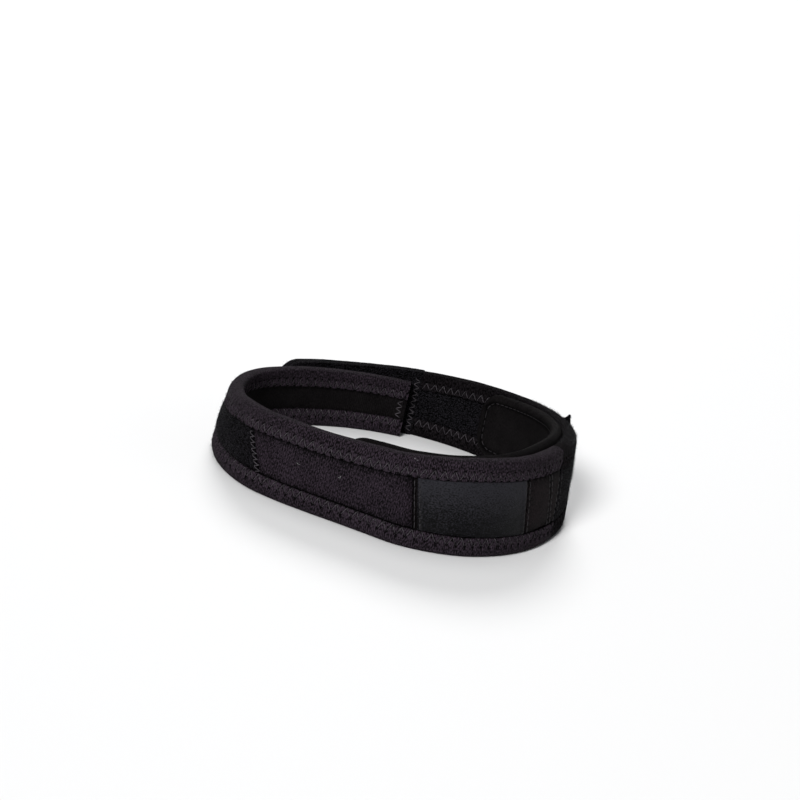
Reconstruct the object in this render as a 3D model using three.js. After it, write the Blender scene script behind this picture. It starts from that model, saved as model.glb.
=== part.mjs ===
// Patella strap, closed into a loop as it is worn: a padded neoprene band with sewn hems
// and a woven label in front, and a plain strap that runs on round the back and fastens
// with hook and loop on the band's own tail.
//
// Millimetres, +Z up. The strap stands on its lower edge, with the loop's axis along Z and
// the label towards -Y. The origin lies under the middle of the strap's box.
// Angles are in degrees round the axis, counted from the front, and grow towards +X. The
// band spirals once round and overlaps itself at the back.

import * as THREE from 'three';

// Driving sizes
const LOOP_RADIUS = 66;
const BAND_HEIGHT = 34.8;
const BINDING_THICKNESS = 1.3;
const CORE_THICKNESS = 2.2;
const LINING_THICKNESS = 1.0;
const PANEL_THICKNESS = 1.0;
const LABEL_THICKNESS = 1.2;
const PILE_THICKNESS = 1.3;
const HOOK_THICKNESS = 1.0;
const STRAP_THICKNESS = 4.4;
const PAD_THICKNESS = 4.6;
const UPPER_HEM = 7.4;
const LOWER_HEM = 7.2;
const HEM_CHAMFER = 0.9;
const STRAP_CHAMFER = 1.2;
const CROWN = 0.6;
const PAD_CLEARANCE_BELOW = 2.2;
const PAD_CORNER = 9;
const TAB_CORNER = 8;
const HOOK_LENGTH = 42;
const HOOK_MARGIN = 3.5;
const LABEL_WIDTH = 45.5;
const SEAM_WIDTH = 1.8;
const END_PANEL_WIDTH = 17;
const GAP = 0.3;

// Angle between two sections, and the angle before and after a point that gives its direction
const STEP = 4;
const REACH = 0.5;

// Share of a rounded corner's length that stays upright at the cut end
const CORNER_REST = 0.02;

// The pad's rounded edges, as shares of its thickness: how far they reach over its inner
// and its outer face, and where the rim between them starts and ends
const PAD_SOFT_INNER = 0.55;
const PAD_SOFT_OUTER = 0.275;
const PAD_RIM_START = 0.3;
const PAD_RIM_END = 0.7;

// Angles of the cut ends, in degrees
const TAIL_END = -206;
const BAND_END = 38;
const LABEL_MIDDLE = 0;
const TAB_END = 204;
const PAD_START = -46;
const PAD_END = 124;

// Slant of the seam between the end panel and the side panel
const SIDE_SEAM_SLANT = -5;

const BAND_THICKNESS = BINDING_THICKNESS + CORE_THICKNESS + LINING_THICKNESS + 2 * GAP;

// The course of the band, from the tail's end to the tab's end. Radius is a share of
// LOOP_RADIUS at the lower edge of the outer face, height a share of BAND_HEIGHT, and lean
// the share of LOOP_RADIUS by which the upper edge lies nearer the axis.
const COURSE = [
  { angle: -206, radius: 0.900, height: 0.66, lean: 0.030 },
  { angle: -185, radius: 0.905, height: 0.67, lean: 0.030 },
  { angle: -170, radius: 0.915, height: 0.68, lean: 0.030 },
  { angle: -156, radius: 0.940, height: 0.69, lean: 0.030 },
  { angle: -141, radius: 0.985, height: 0.70, lean: 0.035 },
  { angle: -129, radius: 1.015, height: 0.70, lean: 0.040 },
  { angle: -116, radius: 1.028, height: 0.70, lean: 0.045 },
  { angle: -103, radius: 1.029, height: 0.72, lean: 0.050 },
  { angle: -88, radius: 1.036, height: 0.78, lean: 0.050 },
  { angle: -73, radius: 1.030, height: 0.82, lean: 0.040 },
  { angle: -62, radius: 1.000, height: 0.84, lean: 0.030 },
  { angle: -52, radius: 0.980, height: 0.85, lean: 0.020 },
  { angle: -41, radius: 0.982, height: 0.865, lean: 0.020 },
  { angle: -31, radius: 1.019, height: 0.89, lean: 0.025 },
  { angle: -21, radius: 1.088, height: 0.93, lean: 0.030 },
  { angle: -11, radius: 1.125, height: 0.965, lean: 0.035 },
  { angle: -2, radius: 1.136, height: 0.995, lean: 0.035 },
  { angle: 9, radius: 1.118, height: 1.00, lean: 0.035 },
  { angle: 20, radius: 1.088, height: 1.00, lean: 0.040 },
  { angle: 30, radius: 1.055, height: 0.995, lean: 0.045 },
  { angle: 40, radius: 1.030, height: 0.985, lean: 0.045 },
  { angle: 54, radius: 1.012, height: 0.96, lean: 0.045 },
  { angle: 70, radius: 1.006, height: 0.93, lean: 0.040 },
  { angle: 90, radius: 1.000, height: 0.90, lean: 0.035 },
  { angle: 115, radius: 0.990, height: 0.85, lean: 0.030 },
  { angle: 140, radius: 0.990, height: 0.79, lean: 0.030 },
  { angle: 160, radius: 1.000, height: 0.74, lean: 0.030 },
  { angle: 176, radius: 1.008, height: 0.71, lean: 0.030 },
  { angle: 192, radius: 1.024, height: 0.70, lean: 0.030 },
  { angle: 204, radius: 1.045, height: 0.69, lean: 0.030 },
];

// Where the pile and the other face layers end: the angle halfway up, and the slant in
// degrees that the stretched band gives the seam between its lower and its upper hem
const SEAMS = {
  tail: { angle: TAIL_END, slant: 0 },
  pile: { angle: -72.5, slant: -8 },
  labelStart: { angle: angleAfter(LABEL_MIDDLE, -LABEL_WIDTH / 2), slant: -3 },
  labelEnd: { angle: angleAfter(LABEL_MIDDLE, LABEL_WIDTH / 2), slant: -2.5 },
  bandEnd: { angle: BAND_END, slant: 0 },
};

// The tendon pad behind the band. Thickness is a share of PAD_THICKNESS, and top the share
// of the band's own height there that the pad reaches.
const PAD = [
  { angle: -46, thickness: 0.35, top: 1.00 },
  { angle: -36, thickness: 0.60, top: 1.02 },
  { angle: -22, thickness: 0.85, top: 1.00 },
  { angle: 0, thickness: 1.00, top: 0.98 },
  { angle: 20, thickness: 1.00, top: 1.01 },
  { angle: 40, thickness: 1.00, top: 1.03 },
  { angle: 65, thickness: 1.00, top: 1.03 },
  { angle: 90, thickness: 1.00, top: 1.00 },
  { angle: 110, thickness: 0.80, top: 0.97 },
  { angle: 124, thickness: 0.45, top: 0.94 },
];

// Reads a table column at an angle, along a smooth curve through its rows
function along(rows, column, angle) {
  const last = rows.length - 1;
  const at = Math.min(Math.max(angle, rows[0].angle), rows[last].angle);
  let row = 0;
  while (row < last - 1 && rows[row + 1].angle < at) row += 1;
  const slope = (i) => {
    const before = rows[Math.max(i - 1, 0)];
    const after = rows[Math.min(i + 1, last)];
    return (after[column] - before[column]) / (after.angle - before.angle);
  };
  const span = rows[row + 1].angle - rows[row].angle;
  const t = (at - rows[row].angle) / span;
  return rows[row][column] * (1 + 2 * t) * (1 - t) ** 2
    + slope(row) * span * t * (1 - t) ** 2
    + rows[row + 1][column] * t * t * (3 - 2 * t)
    + slope(row + 1) * span * t * t * (t - 1);
}

const heightAt = (angle) => BAND_HEIGHT * along(COURSE, 'height', angle);

// Point of the outer face's lower edge
function courseAt(angle) {
  const radius = LOOP_RADIUS * along(COURSE, 'radius', angle);
  const turn = THREE.MathUtils.degToRad(angle);
  return new THREE.Vector2(radius * Math.sin(turn), -radius * Math.cos(turn));
}

// Unit vector from the outer face towards the inside of the loop
function inwardAt(angle) {
  const from = Math.max(angle - REACH, TAIL_END);
  const to = Math.min(angle + REACH, TAB_END);
  const run = courseAt(to).sub(courseAt(from)).normalize();
  return new THREE.Vector2(-run.y, run.x);
}

// Angle that lies a length further along the outer face
function angleAfter(angle, length) {
  return angle + THREE.MathUtils.radToDeg(length / courseAt(angle).length());
}

// Place of a point given by its depth under the outer face and its height. The face is
// crowned, so both of its edges lie deeper than its middle.
function place(angle, depth, z) {
  const height = heightAt(angle);
  const fromMiddle = 2 * z / height - 1;
  const lean = LOOP_RADIUS * along(COURSE, 'lean', angle) * z / height;
  const inward = inwardAt(angle).multiplyScalar(depth + CROWN * fromMiddle ** 2 + lean);
  const point = courseAt(angle).add(inward);
  return [point.x, point.y, z];
}

// Angles from one end to the other, with closer ones inside a corner's length at each end
function stations(start, end, startCorner = 0, endCorner = 0) {
  const cornerSteps = 4;
  const first = angleAfter(start, startCorner);
  const last = angleAfter(end, -endCorner);
  const angles = [];
  const rounding = (step) => Math.sin(Math.PI / 2 * step / cornerSteps);
  if (startCorner > 0) {
    for (let i = cornerSteps; i > 0; i -= 1) angles.push(first - (first - start) * rounding(i));
  }
  const count = Math.max(1, Math.round((last - first) / STEP));
  for (let i = 0; i <= count; i += 1) angles.push(first + (last - first) * i / count);
  if (endCorner > 0) {
    for (let i = 1; i <= cornerSteps; i += 1) angles.push(last + (end - last) * rounding(i));
  }
  return angles;
}

// How far a rounded corner takes an edge back, at a distance from the cut end
function cornerInset(distance, corner) {
  if (distance >= corner) return 0;
  const left = corner - Math.max(distance, CORNER_REST * corner);
  return corner - Math.sqrt(corner * corner - left * left);
}

// A closed body through one section at each angle. A section lists [depth, height] corners,
// with a shift of the corner's angle where the section is slanted.
function sweep(angles, section) {
  const outlines = angles.map(section);
  const count = outlines[0].length;
  const vertices = outlines.flatMap((outline, i) => outline.flatMap(
    ([depth, z, shift = 0]) => place(angles[i] + shift, depth, z),
  ));
  const faces = [];
  for (let i = 0; i + 1 < angles.length; i += 1) {
    for (let j = 0; j < count; j += 1) {
      const a = i * count + j;
      const b = i * count + (j + 1) % count;
      faces.push(a, b, b + count, a, b + count, a + count);
    }
  }
  const flat = outlines[0].map(([d, z]) => new THREE.Vector2(d, z));
  const wound = Math.sign(THREE.ShapeUtils.area(flat));
  const cap = (outline, offset, side) => {
    const corners = outline.map(([d, z]) => new THREE.Vector2(d, z));
    for (const [a, b, c] of THREE.ShapeUtils.triangulateShape(corners, [])) {
      const turned = Math.sign(THREE.ShapeUtils.area([corners[a], corners[b], corners[c]]));
      const order = turned * wound * side > 0 ? [a, b, c] : [a, c, b];
      faces.push(...order.map((index) => offset + index));
    }
  };
  cap(outlines[0], 0, -1);
  cap(outlines[outlines.length - 1], (angles.length - 1) * count, 1);
  if (wound < 0) faces.reverse();
  const geometry = new THREE.BufferGeometry();
  geometry.setAttribute('position', new THREE.Float32BufferAttribute(vertices, 3));
  geometry.setIndex(faces);
  geometry.computeVertexNormals();
  return geometry;
}

// A section with a flat outer and inner side, cut off at two heights. Both sides break at
// the hems' edges and halfway, so that neighbouring layers stay parallel.
function layer(angle, outer, inner, low, high) {
  const height = heightAt(angle);
  const breaks = [LOWER_HEM, height / 2, height - UPPER_HEM]
    .filter((z) => z > low + GAP && z < high - GAP);
  const levels = [low, ...breaks, high];
  return [...levels.map((z) => [outer, z]), ...levels.reverse().map((z) => [inner, z])];
}

// Neoprene core of the band, from the tail's end to the side seam
function frontBand() {
  const outer = BINDING_THICKNESS + GAP;
  const turnIn = BINDING_THICKNESS + GAP;
  return sweep(stations(TAIL_END, BAND_END), (angle) => layer(
    angle, outer, outer + CORE_THICKNESS, turnIn, heightAt(angle) - turnIn,
  ));
}

// Hem folded over an edge of the core: a flap on each face, and a fold that is flat below
function binding(edge, fold, hem) {
  const innerFlap = BAND_THICKNESS - LINING_THICKNESS;
  return sweep(stations(TAIL_END, BAND_END), (angle) => {
    const tip = edge(angle);
    const level = (rise) => tip + fold * rise;
    return [
      [0, level(hem)],
      [0, level(HEM_CHAMFER)],
      [HEM_CHAMFER, tip],
      [BAND_THICKNESS - HEM_CHAMFER, tip],
      [BAND_THICKNESS, level(HEM_CHAMFER)],
      [BAND_THICKNESS, level(hem)],
      [innerFlap, level(hem)],
      [innerFlap, level(BINDING_THICKNESS)],
      [BINDING_THICKNESS, level(BINDING_THICKNESS)],
      [BINDING_THICKNESS, level(hem)],
    ];
  });
}

const upperBinding = () => binding(heightAt, -1, UPPER_HEM);
const lowerBinding = () => binding(() => 0, 1, LOWER_HEM);

// A face layer between the two hems, from one seam to another
function facePanel(from, to, thickness) {
  const inner = BINDING_THICKNESS;
  return sweep(stations(from.angle, to.angle), (angle) => {
    const share = (angle - from.angle) / (to.angle - from.angle);
    const slant = from.slant + (to.slant - from.slant) * share;
    const corner = (depth, level) => {
      const shift = slant * (level - 0.5);
      const low = LOWER_HEM + GAP;
      const high = heightAt(angle + shift) - UPPER_HEM - GAP;
      return [depth, low + (high - low) * level, shift];
    };
    const outer = inner - thickness;
    return [
      corner(outer, 0), corner(outer, 0.5), corner(outer, 1),
      corner(inner, 1), corner(inner, 0.5), corner(inner, 0),
    ];
  });
}

// The same seam a length further along the band
function seamAfter(seam, length) {
  return { ...seam, angle: angleAfter(seam.angle, length) };
}

// Plain strap from the side seam round the back, with rounded corners at its tab end
function backStrap() {
  const start = angleAfter(BAND_END, GAP);
  const outer = (BAND_THICKNESS - STRAP_THICKNESS) / 2;
  const inner = outer + STRAP_THICKNESS;
  return sweep(stations(start, TAB_END, 0, TAB_CORNER), (angle) => {
    const height = heightAt(angle);
    const distance = THREE.MathUtils.degToRad(TAB_END - angle) * courseAt(angle).length();
    const inset = cornerInset(distance, TAB_CORNER);
    const low = inset;
    const high = height - inset;
    const rise = high - low - 2 * STRAP_CHAMFER;
    const side = [0, 1, 2, 3, 4].map((quarter) => low + STRAP_CHAMFER + rise * quarter / 4);
    return [
      [outer + STRAP_CHAMFER, low],
      ...side.map((z) => [outer, z]),
      [outer + STRAP_CHAMFER, high],
      [inner - STRAP_CHAMFER, high],
      ...side.reverse().map((z) => [inner, z]),
      [inner - STRAP_CHAMFER, low],
    ];
  });
}

// Hook fastener under the strap's tab
function hookPatch() {
  const end = angleAfter(TAB_END, -HOOK_MARGIN);
  const start = angleAfter(end, -HOOK_LENGTH);
  const outer = (BAND_THICKNESS + STRAP_THICKNESS) / 2 + GAP;
  return sweep(stations(start, end), (angle) => layer(
    angle, outer, outer + HOOK_THICKNESS, LOWER_HEM, heightAt(angle) - UPPER_HEM,
  ));
}

// Tendon pad, a rounded cushion on the inside of the band
function tendonPad() {
  const outer = BAND_THICKNESS + GAP;
  return sweep(stations(PAD_START, PAD_END, PAD_CORNER, PAD_CORNER), (angle) => {
    const height = heightAt(angle);
    const thickness = PAD_THICKNESS * along(PAD, 'thickness', angle);
    const length = courseAt(angle).length();
    const fromStart = THREE.MathUtils.degToRad(angle - PAD_START) * length;
    const fromEnd = THREE.MathUtils.degToRad(PAD_END - angle) * length;
    const inset = cornerInset(Math.min(fromStart, fromEnd), PAD_CORNER);
    const low = PAD_CLEARANCE_BELOW + inset;
    const high = height * along(PAD, 'top', angle) - inset;
    const middle = (low + high) / 2;
    const inner = outer + thickness;
    const rimStart = outer + thickness * PAD_RIM_START;
    const rimEnd = outer + thickness * PAD_RIM_END;
    const softOuter = thickness * PAD_SOFT_OUTER;
    const softInner = thickness * PAD_SOFT_INNER;
    return [
      [outer, low + softOuter],
      [outer, middle],
      [outer, high - softOuter],
      [rimStart, high],
      [rimEnd, high],
      [inner, high - softInner],
      [inner, middle],
      [inner, low + softInner],
      [rimEnd, low],
      [rimStart, low],
    ];
  });
}

const jersey = new THREE.MeshStandardMaterial({ color: 0x2b242a, roughness: 0.92, metalness: 0 });
const hemTape = new THREE.MeshStandardMaterial({ color: 0x2d252c, roughness: 0.88, metalness: 0 });
const neoprene = new THREE.MeshStandardMaterial({ color: 0x19181a, roughness: 0.85, metalness: 0 });
const pile = new THREE.MeshStandardMaterial({ color: 0x1b1b1d, roughness: 1, metalness: 0 });
const satin = new THREE.MeshStandardMaterial({ color: 0x2c2e32, roughness: 0.6, metalness: 0 });
const hooks = new THREE.MeshStandardMaterial({ color: 0x151516, roughness: 0.7, metalness: 0 });

function piece(name, geometry, material) {
  const mesh = new THREE.Mesh(geometry, material);
  mesh.name = name;
  return mesh;
}

function patellaStrap() {
  const pileEdge = seamAfter(SEAMS.pile, -GAP);
  const centreEnd = seamAfter(SEAMS.labelStart, -SEAM_WIDTH);
  const endStart = seamAfter(SEAMS.labelEnd, GAP);
  const endEnd = { angle: angleAfter(endStart.angle, END_PANEL_WIDTH), slant: SIDE_SEAM_SLANT };
  const sideStart = seamAfter(endEnd, GAP);
  const strap = new THREE.Group();
  strap.add(
    piece('front_band', frontBand(), neoprene),
    piece('upper_binding', upperBinding(), hemTape),
    piece('lower_binding', lowerBinding(), hemTape),
    piece('centre_panel', facePanel(SEAMS.pile, centreEnd, PANEL_THICKNESS), jersey),
    piece('label', facePanel(SEAMS.labelStart, SEAMS.labelEnd, LABEL_THICKNESS), satin),
    piece('end_panel', facePanel(endStart, endEnd, PANEL_THICKNESS), jersey),
    piece('side_panel', facePanel(sideStart, SEAMS.bandEnd, PANEL_THICKNESS), jersey),
    piece('loop_patch', facePanel(SEAMS.tail, pileEdge, PILE_THICKNESS), pile),
    piece('back_strap', backStrap(), pile),
    piece('hook_patch', hookPatch(), hooks),
    piece('tendon_pad', tendonPad(), neoprene),
  );
  const box = new THREE.Box3().setFromObject(strap);
  const middle = box.getCenter(new THREE.Vector3());
  strap.position.set(-middle.x, -middle.y, -box.min.z);
  return strap;
}

export default patellaStrap();
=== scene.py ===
import math

import bpy
import numpy as np
from mathutils import Matrix, Vector


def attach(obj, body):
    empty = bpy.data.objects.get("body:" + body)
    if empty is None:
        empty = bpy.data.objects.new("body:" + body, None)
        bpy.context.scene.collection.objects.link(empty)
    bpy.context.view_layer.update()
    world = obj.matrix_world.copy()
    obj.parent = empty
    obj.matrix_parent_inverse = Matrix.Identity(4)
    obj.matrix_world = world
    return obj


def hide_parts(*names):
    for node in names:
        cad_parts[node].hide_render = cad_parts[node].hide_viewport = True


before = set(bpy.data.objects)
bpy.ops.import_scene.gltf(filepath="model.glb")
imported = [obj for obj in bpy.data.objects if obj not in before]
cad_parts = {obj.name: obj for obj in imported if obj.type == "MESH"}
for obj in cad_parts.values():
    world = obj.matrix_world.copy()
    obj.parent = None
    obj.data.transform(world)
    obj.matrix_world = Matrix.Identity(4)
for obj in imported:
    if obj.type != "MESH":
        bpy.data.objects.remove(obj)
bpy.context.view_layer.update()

MM = 0.001

# Each cloth is cut flat and bent along the course of the band; seams and fibres follow it too.
# Angles are in degrees round the loop, counted from the front, and grow towards +X.

# Driving sizes of the strap, as in the CAD part, in millimetres
LOOP_RADIUS = 66
BAND_HEIGHT = 34.8
BAND_THICKNESS = 5.1
BINDING_THICKNESS = 1.3
CORE_THICKNESS = 2.2
PANEL_THICKNESS = 1.0
PILE_THICKNESS = 1.3
HOOK_THICKNESS = 1.0
STRAP_THICKNESS = 4.4
PAD_THICKNESS = 4.6
UPPER_HEM = 7.4
LOWER_HEM = 7.2
CROWN = 0.6
LABEL_WIDTH = 45.5
SEAM_WIDTH = 1.8
END_PANEL_WIDTH = 17
PAD_CLEARANCE_BELOW = 2.2
PAD_CORNER = 9
TAB_CORNER = 8
HOOK_LENGTH = 42
HOOK_MARGIN = 3.5
GAP = 0.3
STRAP_FACE = (BAND_THICKNESS - STRAP_THICKNESS) / 2
LINING_FACE = BINDING_THICKNESS + GAP + CORE_THICKNESS

# Angles of the cut ends; the hems run on over the back strap to where its tab begins
TAIL_END = -206
PILE_END = -72.5
BAND_END = 38
TAB_END = 204
PAD_START = -46
PAD_END = 124
STRAP_HEM_END = 150

# Finer sizes of the cloth and its sewing, in millimetres
LABEL_THICKNESS = 1.15
TAPE_THICKNESS = 0.95
TAPE_FOLD = 1.9
FOLD_SQUARENESS = 0.75
TUFT_HEIGHT = 0.16
STITCH_PERIOD = 3.6
STITCH_RISE = 3.1
STITCH_FROM_EDGE = 1.75
NEEDLE_HOLE = 0.5
THREAD_DENT = 0.52
SEAM_TROUGH = 1.9
HEM_THREAD = 0.17
SEAM_THREAD = 0.16
PAD_THREAD = 0.15
EDGE_THREAD = 0.14
FRAYED_THREAD = 0.09
LINT_THREAD = 0.045
SEAM_STITCH = 2.4
PAD_STITCH_INSET = 3.4
PAD_ROUNDING = 3.2
PAD_GROOVE = (0.5, 0.7)
FIBRE_RADIUS = 0.045
# Narrower cloth than this doesn't have its flat width worked out
LEAST_SHEET = 10

# Rows of points on each flap of a hem tape, and the seed of the hems' swells
FLAP_ROWS = 15
HEM_SEED = 11

# Random swells, each as its height and pitch in millimetres
PANEL_SWELLS = ((0.14, 22), (0.06, 8))
STRAP_SWELLS = ((0.16, 30), (0.09, 9))
PAD_SWELLS = ((0.16, 24), (0.06, 8))

# Share of a rounded corner's length that stays upright at the cut end
CORNER_REST = 0.02
# Turns in degrees: past the first a cut edge is rounded, past the second it is shaded sharp
EDGE_TURN = 50
SMOOTH_TURN = 60

# The raw corner that stands up from the back strap, the rough rim on both sides of it, and
# where threads fray
RAISED_CORNER = (79.2, 85.0)
RAISED_LIFT = 3.2
RIM_NAP = (44, 104)
FRAY_ANGLES = (58, 60.5, 63, 66, 71, 84, 97)
# Lint on the centre panel and its upper hem, as angle and height
LINT = ((-56, 16), (-41.5, 16.4), (-20.5, 31.2))

# Where the loop's axis stands in the frame, whose origin is the middle of the strap's box
LOOP_AXIS = (1.335, 4.233)

# The camera, fitted to the photograph's outline of the strap
CAMERA_DISTANCE = 0.9
CAMERA_AZIMUTH = -26
CAMERA_ELEVATION = 18
CAMERA_ROLL = 12.5
IMAGE_SIZE = 800
LOOP_PIXEL = (390, 479)
PIXELS_PER_MM = 2.7
SENSOR_WIDTH = 36

# The course of the band: angle from the front, radius as a share of LOOP_RADIUS, height as a
# share of BAND_HEIGHT, and the lean of the upper edge as a share of LOOP_RADIUS
COURSE = np.array([
    (-206, 0.900, 0.660, 0.030),
    (-185, 0.905, 0.670, 0.030),
    (-170, 0.915, 0.680, 0.030),
    (-156, 0.940, 0.690, 0.030),
    (-141, 0.985, 0.700, 0.035),
    (-129, 1.015, 0.700, 0.040),
    (-116, 1.028, 0.700, 0.045),
    (-103, 1.029, 0.720, 0.050),
    (-88, 1.036, 0.780, 0.050),
    (-73, 1.030, 0.820, 0.040),
    (-62, 1.000, 0.840, 0.030),
    (-52, 0.980, 0.850, 0.020),
    (-41, 0.982, 0.865, 0.020),
    (-31, 1.019, 0.890, 0.025),
    (-21, 1.088, 0.930, 0.030),
    (-11, 1.125, 0.965, 0.035),
    (-2, 1.136, 0.995, 0.035),
    (9, 1.118, 1.000, 0.035),
    (20, 1.088, 1.000, 0.040),
    (30, 1.055, 0.995, 0.045),
    (40, 1.030, 0.985, 0.045),
    (54, 1.012, 0.960, 0.045),
    (70, 1.006, 0.930, 0.040),
    (90, 1.000, 0.900, 0.035),
    (115, 0.990, 0.850, 0.030),
    (140, 0.990, 0.790, 0.030),
    (160, 1.000, 0.740, 0.030),
    (176, 1.008, 0.710, 0.030),
    (192, 1.024, 0.700, 0.030),
    (204, 1.045, 0.690, 0.030),
])
RADIUS, HEIGHT, LEAN = 1, 2, 3

# The tendon pad: angle, thickness as a share of PAD_THICKNESS, top as a share of the band
PAD = np.array([
    (-46, 0.35, 1.00),
    (-36, 0.60, 1.02),
    (-22, 0.85, 1.00),
    (0, 1.00, 0.98),
    (20, 1.00, 1.01),
    (40, 1.00, 1.03),
    (65, 1.00, 1.03),
    (90, 1.00, 1.00),
    (110, 0.80, 0.97),
    (124, 0.45, 0.94),
])
PAD_SHARE, PAD_TOP = 1, 2

# How far a cloth's roughness swings with its shade, and how fine a thread's twist is
ROUGHNESS_SWING = 0.06
THREAD_TWIST = 900

# The studio: its floor, the backdrop as it is seen and as it shines, and the lights by
# their direction, their spread in degrees and their strength
FLOOR_SIZE = 60
FLOOR_GREY = 0.8
BACKDROP_SEEN = 1.0
BACKDROP_LIGHT = 0.15
LIGHTS = (
    ("key_light", (-1.65, -1.6, 1.5), 17, 3.4),
    ("fill_light", (1.9, -1.4, 1.3), 26, 0.1),
    ("top_light", (0.2, 0.5, 2.2), 34, 0.6),
    ("back_light", (0.8, 2.0, 1.5), 22, 1.45),
)


# The course of the band

def along(rows, column, angle):
    """A table column at each angle, along a smooth curve through its rows."""
    at = np.clip(angle, rows[0, 0], rows[-1, 0])
    row = np.clip(np.searchsorted(rows[:, 0], at, side="right") - 1, 0, len(rows) - 2)
    before = np.maximum(np.arange(len(rows)) - 1, 0)
    after = np.minimum(np.arange(len(rows)) + 1, len(rows) - 1)
    slope = (rows[after, column] - rows[before, column]) / (rows[after, 0] - rows[before, 0])
    span = rows[row + 1, 0] - rows[row, 0]
    t = (at - rows[row, 0]) / span
    start = rows[row, column] * (1 + 2 * t) * (1 - t) ** 2 + slope[row] * span * t * (1 - t) ** 2
    end = rows[row + 1, column] * t * t * (3 - 2 * t) + slope[row + 1] * span * t * t * (t - 1)
    return start + end


def height_at(angle):
    """The band's height in millimetres."""
    return BAND_HEIGHT * along(COURSE, HEIGHT, angle)


def course_at(angle):
    """The outer face's lower edge at each angle, as x and y."""
    radius = LOOP_RADIUS * along(COURSE, RADIUS, angle)
    turn = np.radians(angle)
    return np.stack([radius * np.sin(turn), -radius * np.cos(turn)], -1)


def worn(angle, depth, z):
    """Points in metres from angles, depths under the outer face and heights in millimetres."""
    angle, depth, z = np.broadcast_arrays(*(np.asarray(v, float) for v in (angle, depth, z)))
    reach = 0.5
    ahead = course_at(np.minimum(angle + reach, TAB_END))
    run = ahead - course_at(np.maximum(angle - reach, TAIL_END))
    run /= np.linalg.norm(run, axis=-1, keepdims=True)
    inward = np.stack([-run[..., 1], run[..., 0]], -1)
    height = height_at(angle)
    from_middle = 2 * z / height - 1
    lean = LOOP_RADIUS * along(COURSE, LEAN, angle) * z / height
    sunk = depth + CROWN * from_middle ** 2 + lean
    flat = course_at(angle) + inward * sunk[..., None] + np.array(LOOP_AXIS)
    return np.concatenate([flat, z[..., None]], -1) * MM


COURSE_ANGLES = np.arange(TAIL_END, TAB_END + 0.5, 0.5)
COURSE_STEPS = np.linalg.norm(np.diff(course_at(COURSE_ANGLES), axis=0), axis=1)
COURSE_LENGTHS = np.concatenate([[0], np.cumsum(COURSE_STEPS)])
COURSE_LENGTHS -= np.interp(0, COURSE_ANGLES, COURSE_LENGTHS)


def length_at(angle):
    """Length along the outer face from the front, in millimetres."""
    return np.interp(angle, COURSE_ANGLES, COURSE_LENGTHS)


def angle_at(length):
    """The angle at a length along the outer face."""
    return np.interp(length, COURSE_LENGTHS, COURSE_ANGLES)


def angle_after(angle, length):
    """The angle that lies a length further along."""
    return float(angle_at(length_at(angle) + length))


LABEL_START = angle_after(0, -LABEL_WIDTH / 2)
LABEL_END = angle_after(0, LABEL_WIDTH / 2)
END_START = angle_after(LABEL_END, GAP)
END_END = angle_after(END_START, END_PANEL_WIDTH)
STRAP_HEM_START = angle_after(BAND_END, GAP)
# Each seam: the angle halfway up and its slant in degrees
PILE_SEAM = (PILE_END, -8)
PATCH_RIGHT = (angle_after(PILE_END, -GAP), -8)
CENTRE_SEAM = (angle_after(LABEL_START, -SEAM_WIDTH), -3)
LABEL_LEFT = (LABEL_START, -3)
LABEL_RIGHT = (LABEL_END, -2.5)
END_LEFT = (END_START, -2.5)
END_RIGHT = (END_END, -3.4)
SIDE_LEFT = (angle_after(END_END, GAP), -3.4)
SIDE_RIGHT = (BAND_END, 0)
TAIL_SEAM = (TAIL_END, 0)


def ripple(seed, u, v, pitch):
    """A smooth random swell of about -1 to 1 over flat cloth."""
    draw = np.random.default_rng(seed)
    total = np.zeros(np.broadcast(u, v).shape)
    for octave in range(3):
        for _ in range(5):
            turn = draw.uniform(0, math.tau)
            width = pitch / 2 ** octave * draw.uniform(0.7, 1.4)
            phase = draw.uniform(0, math.tau)
            wave = (u * math.cos(turn) + v * math.sin(turn)) / width * math.tau + phase
            total = total + np.sin(wave) / 2 ** octave
    return total / 4.5


def swells(seed, u, v, bumps):
    """Random swells over flat cloth, one on another."""
    return sum(height * ripple(seed + i, u, v, pitch) for i, (height, pitch) in enumerate(bumps))


def corner_inset(distance, corner):
    """How far a rounded corner takes an edge back, at a distance from the cut end."""
    left = corner - np.clip(distance, CORNER_REST * corner, corner)
    return corner - np.sqrt(corner ** 2 - left ** 2)


# Mesh work, as by hand

def deselect_all():
    for obj in bpy.context.selected_objects:
        obj.select_set(False)


def take_up(obj):
    deselect_all()
    obj.select_set(True)
    bpy.context.view_layer.objects.active = obj


def coordinates(obj):
    flat = np.empty(len(obj.data.vertices) * 3)
    obj.data.vertices.foreach_get("co", flat)
    return flat.reshape(-1, 3)


def move_vertices(obj, points):
    obj.data.vertices.foreach_set("co", np.asarray(points, float).ravel())
    obj.data.update()


def apply_modifier(obj, kind, **settings):
    take_up(obj)
    modifier = obj.modifiers.new(kind.lower(), kind)
    for name, value in settings.items():
        setattr(modifier, name, value)
    bpy.ops.object.modifier_apply(modifier=modifier.name)


def round_edges(obj, width):
    apply_modifier(
        obj, "BEVEL", width=width * MM, segments=2, limit_method="ANGLE",
        angle_limit=math.radians(EDGE_TURN),
    )


def keep_cloth_map(obj, along_mm, across_mm):
    """Stores the flat cloth's own coordinates, 10 mm to the unit, as the piece's UV map."""
    layer = obj.data.uv_layers[0] if obj.data.uv_layers else obj.data.uv_layers.new()
    layer.name = "cloth"
    index = np.empty(len(obj.data.loops), int)
    obj.data.loops.foreach_get("vertex_index", index)
    uv = np.stack([along_mm[index], across_mm[index]], -1) / 10
    layer.uv.foreach_set("vector", uv.astype(np.float32).ravel())


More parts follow.
